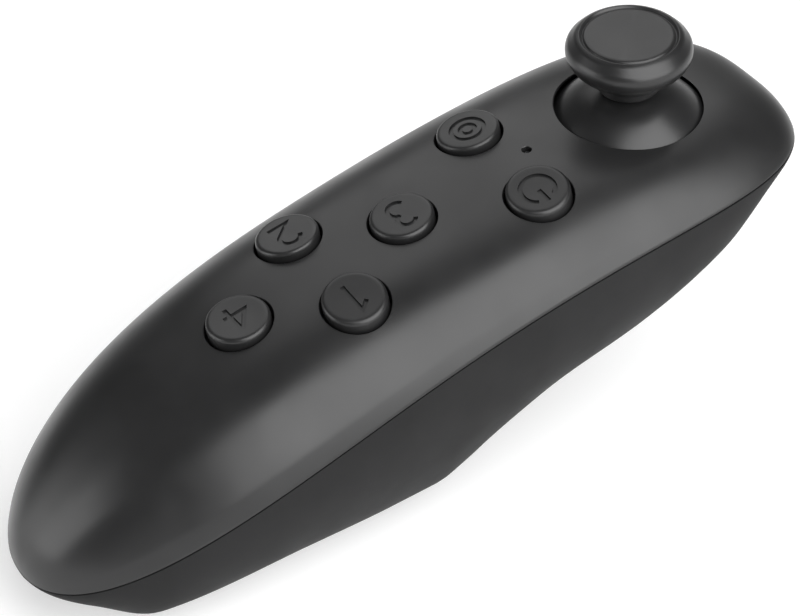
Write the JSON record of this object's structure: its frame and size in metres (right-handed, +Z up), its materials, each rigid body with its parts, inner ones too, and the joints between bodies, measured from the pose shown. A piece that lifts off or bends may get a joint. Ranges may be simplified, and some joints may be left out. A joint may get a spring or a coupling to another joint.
{
  "type": "vr motion controller",
  "caption": "Handheld wireless motion controller: boat-shaped two-shell body with a domed thumbstick, round top buttons, nose triggers and a sliding battery cover.",
  "frame": {"origin": "centre of the bounding box's base, on the flat sole the controller rests on", "axes": "+Y forward to the thumbstick end, +Z up, +X to the right"},
  "size_m": [0.0444, 0.13, 0.0577],
  "materials": {
    "satin_shell": "satin black moulded plastic, soft reflections",
    "matte_shell": "matt black, fine spark texture",
    "button_plastic": "satin black plastic with sunk symbols",
    "stick_plastic": "semi-matt black soft-feel plastic",
    "module_metal": "stamped steel",
    "switch_plastic": "black nylon",
    "circuit_board": "green solder mask",
    "chip_plastic": "black epoxy package",
    "steel": "bright zinc plated",
    "cell_wrap": "wrapped cell, blue sleeve",
    "flat_cable": "white flat cable",
    "clear_plastic": "clear acrylic"
  },
  "bodies": {
    "case": {"switch_1": "switch_plastic", "switch_2": "switch_plastic", "switch_3": "switch_plastic", "switch_4": "switch_plastic", "switch_home": "switch_plastic", "switch_power": "switch_plastic", "top_shell": "satin_shell", "bottom_shell": "matte_shell", "case_screw_1": "steel", "case_screw_2": "steel", "case_screw_3": "steel", "button_board": "circuit_board", "bluetooth_module": "steel", "controller_chip": "chip_plastic", "led": "clear_plastic", "light_pipe": "clear_plastic", "board_screw_1": "steel", "board_screw_2": "steel", "joystick_housing": "module_metal", "tilt_sensor_x": "circuit_board", "tilt_sensor_y": "circuit_board", "joystick_board": "circuit_board", "joystick_screw_1": "steel", "joystick_screw_2": "steel", "ribbon_cable": "flat_cable", "battery_left": "cell_wrap", "battery_right": "cell_wrap", "battery_spring_left": "steel", "battery_spring_right": "steel", "battery_contact": "steel", "trigger_upper_switch": "switch_plastic", "trigger_upper_board": "circuit_board", "trigger_lower_switch": "switch_plastic", "trigger_lower_board": "circuit_board"},
    "button_1": {"button_1": "button_plastic", "plunger_1": "steel"},
    "button_2": {"button_2": "button_plastic", "plunger_2": "steel"},
    "button_3": {"button_3": "button_plastic", "plunger_3": "steel"},
    "button_4": {"button_4": "button_plastic", "plunger_4": "steel"},
    "button_home": {"button_home": "button_plastic", "plunger_home": "steel"},
    "button_power": {"button_power": "button_plastic", "plunger_power": "steel"},
    "joystick_gimbal": {"gimbal_ring": "module_metal"},
    "joystick_stick": {"joystick_cap": "stick_plastic", "joystick_dome": "stick_plastic", "joystick_shaft": "module_metal", "centering_cup": "switch_plastic", "return_spring": "steel"},
    "sense_rocker": {"sense_rocker": "switch_plastic"},
    "trigger_upper": {"trigger_upper": "button_plastic", "trigger_upper_plunger": "steel"},
    "trigger_lower": {"trigger_lower": "button_plastic", "trigger_lower_plunger": "steel"},
    "battery_cover": {"battery_cover": "matte_shell"}
  },
  "joints": [
    {"name": "button_1_press", "type": "slide", "parent": "case", "child": "button_1", "axis": [0, 0.1685, -0.9857], "range_m": [0, 0.0006], "stiffness_N_per_m": 400, "springref_m": -0.0006},
    {"name": "button_2_press", "type": "slide", "parent": "case", "child": "button_2", "axis": [0, 0.1685, -0.9857], "range_m": [0, 0.0006], "stiffness_N_per_m": 400, "springref_m": -0.0006},
    {"name": "button_3_press", "type": "slide", "parent": "case", "child": "button_3", "axis": [0, 0.1685, -0.9857], "range_m": [0, 0.0006], "stiffness_N_per_m": 400, "springref_m": -0.0006},
    {"name": "button_4_press", "type": "slide", "parent": "case", "child": "button_4", "axis": [0, 0.1685, -0.9857], "range_m": [0, 0.0006], "stiffness_N_per_m": 400, "springref_m": -0.0006},
    {"name": "button_home_press", "type": "slide", "parent": "case", "child": "button_home", "axis": [0, 0.1685, -0.9857], "range_m": [0, 0.0006], "stiffness_N_per_m": 400, "springref_m": -0.0006},
    {"name": "button_power_press", "type": "slide", "parent": "case", "child": "button_power", "axis": [0, 0.1685, -0.9857], "range_m": [0, 0.0006], "stiffness_N_per_m": 400, "springref_m": -0.0006},
    {"name": "stick_pitch", "type": "hinge", "parent": "case", "child": "joystick_gimbal", "pos_m": [0, 0.0415, 0.0335], "axis": [1, 0, 0], "range_deg": [-11, 11], "stiffness_Nm_per_rad": 0.06},
    {"name": "stick_roll", "type": "hinge", "parent": "joystick_gimbal", "child": "joystick_stick", "pos_m": [0, 0.0415, 0.0335], "axis": [0, 1, 0], "range_deg": [-11, 11], "stiffness_Nm_per_rad": 0.06},
    {"name": "rocker_roll", "type": "hinge", "parent": "case", "child": "sense_rocker", "pos_m": [0, 0.0415, 0.0335], "axis": [0, 1, 0], "range_deg": [-11.5, 11.5]},
    {"name": "trigger_upper_press", "type": "slide", "parent": "case", "child": "trigger_upper", "axis": [0, -0.8133, 0.5819], "range_m": [0, 0.0005], "stiffness_N_per_m": 400, "springref_m": -0.0006},
    {"name": "trigger_lower_press", "type": "slide", "parent": "case", "child": "trigger_lower", "axis": [0, -0.5374, 0.8433], "range_m": [0, 0.0005], "stiffness_N_per_m": 400, "springref_m": -0.0006},
    {"name": "battery_cover_slide", "type": "slide", "parent": "case", "child": "battery_cover", "axis": [0, -1, 0], "range_m": [0, 0.06]}
  ],
  "couplings": [
    {"joint": "rocker_roll", "follows": "stick_roll", "ratio": 1}
  ]
}
